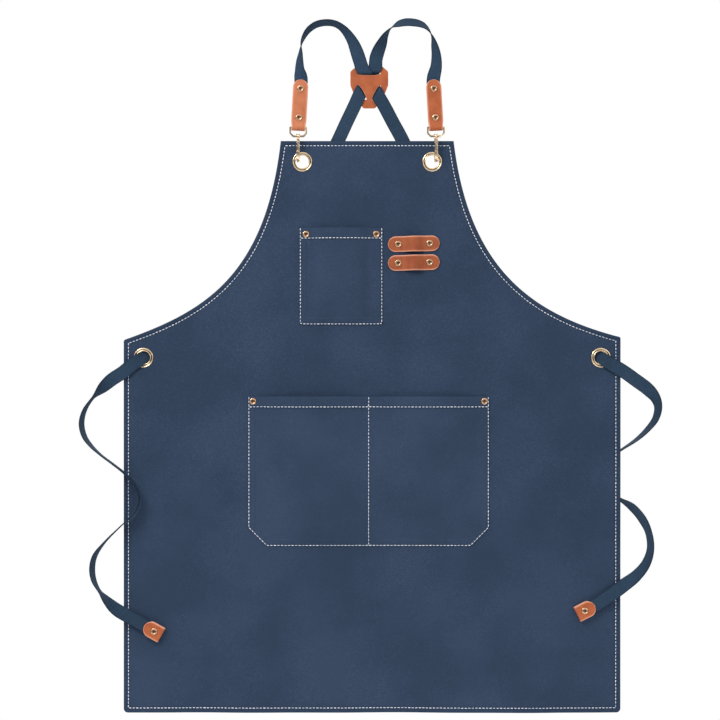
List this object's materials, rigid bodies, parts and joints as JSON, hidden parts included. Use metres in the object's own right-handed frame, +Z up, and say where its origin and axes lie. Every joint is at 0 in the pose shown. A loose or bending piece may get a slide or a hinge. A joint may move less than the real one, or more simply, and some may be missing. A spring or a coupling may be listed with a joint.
{
  "type": "bib apron",
  "caption": "Canvas bib apron with pockets and leather tool loops, hung by crossed webbing straps that snap to the bib and tie at the waist.",
  "frame": {"origin": "between the crests of the two strap arches, where a peg, a hanger or the wearer's shoulders hold the apron", "axes": "+Z up along the hanging panel, +X to the right seen from the front, the front of the panel faces -Y"},
  "size_m": [0.8219, 0.0452, 0.9855],
  "materials": {
    "canvas": "steel navy cotton canvas, plain weave, pale top-stitching",
    "webbing": "navy cotton webbing with corded edges",
    "leather": "tan full-grain leather with pale cut edges",
    "gold_hardware": "polished light gold plate",
    "rivet_copper": "worn copper-gold, dimpled",
    "steel": "plain steel pin and spring"
  },
  "bodies": {
    "apron": {"canvas_panel": "canvas", "chest_pocket": "canvas", "lower_pocket": "canvas", "leather_loop_upper": "leather", "leather_loop_lower": "leather", "chest_pocket_rivet_left": "rivet_copper", "chest_pocket_rivet_right": "rivet_copper", "lower_pocket_rivet_left": "rivet_copper", "lower_pocket_rivet_right": "rivet_copper", "loop_rivet_upper_left": "rivet_copper", "loop_rivet_upper_right": "rivet_copper", "loop_rivet_lower_left": "rivet_copper", "loop_rivet_lower_right": "rivet_copper", "cross_patch": "leather", "bib_grommet_left_eyelet": "gold_hardware", "bib_grommet_left_washer": "gold_hardware", "waist_grommet_left_eyelet": "gold_hardware", "waist_grommet_left_washer": "gold_hardware", "left_strap_tab": "leather", "left_tab_rivet_lower": "rivet_copper", "left_tab_rivet_upper": "rivet_copper", "left_strap": "webbing", "left_tie_tip": "leather", "left_tie_rivet": "rivet_copper", "bib_grommet_right_eyelet": "gold_hardware", "bib_grommet_right_washer": "gold_hardware", "waist_grommet_right_eyelet": "gold_hardware", "waist_grommet_right_washer": "gold_hardware", "right_strap_tab": "leather", "right_tab_rivet_lower": "rivet_copper", "right_tab_rivet_upper": "rivet_copper", "right_strap": "webbing", "right_tie_tip": "leather", "right_tie_rivet": "rivet_copper"},
    "left_eye": {"left_hook_eye": "gold_hardware"},
    "left_hook": {"left_hook_body": "gold_hardware", "left_gate_pin": "steel", "left_gate_spring": "steel"},
    "left_gate_lever": {"left_gate": "gold_hardware"},
    "right_eye": {"right_hook_eye": "gold_hardware"},
    "right_hook": {"right_hook_body": "gold_hardware", "right_gate_pin": "steel", "right_gate_spring": "steel"},
    "right_gate_lever": {"right_gate": "gold_hardware"}
  },
  "joints": [
    {"name": "left_eye_pitch", "type": "hinge", "parent": "apron", "child": "left_eye", "pos_m": [-0.1015, 0, -0.1525], "axis": [1, 0, 0], "range_deg": [-2, 2]},
    {"name": "left_hook_swivel", "type": "hinge", "parent": "left_eye", "child": "left_hook", "pos_m": [-0.1015, 0, -0.1664], "axis": [0, 0, 1], "range_deg": [-8, 8]},
    {"name": "left_gate_pivot", "type": "hinge", "parent": "left_hook", "child": "left_gate_lever", "pos_m": [-0.1015, -0.0097, -0.1732], "axis": [1, 0, 0], "range_deg": [0, 9], "stiffness_Nm_per_rad": 0.03, "springref_deg": -28.65},
    {"name": "right_eye_pitch", "type": "hinge", "parent": "apron", "child": "right_eye", "pos_m": [0.0935, 0, -0.1525], "axis": [1, 0, 0], "range_deg": [-2, 2]},
    {"name": "right_hook_swivel", "type": "hinge", "parent": "right_eye", "child": "right_hook", "pos_m": [0.0935, 0, -0.1664], "axis": [0, 0, 1], "range_deg": [-8, 8]},
    {"name": "right_gate_pivot", "type": "hinge", "parent": "right_hook", "child": "right_gate_lever", "pos_m": [0.0935, -0.0097, -0.1732], "axis": [1, 0, 0], "range_deg": [0, 9], "stiffness_Nm_per_rad": 0.03, "springref_deg": -28.65}
  ]
}
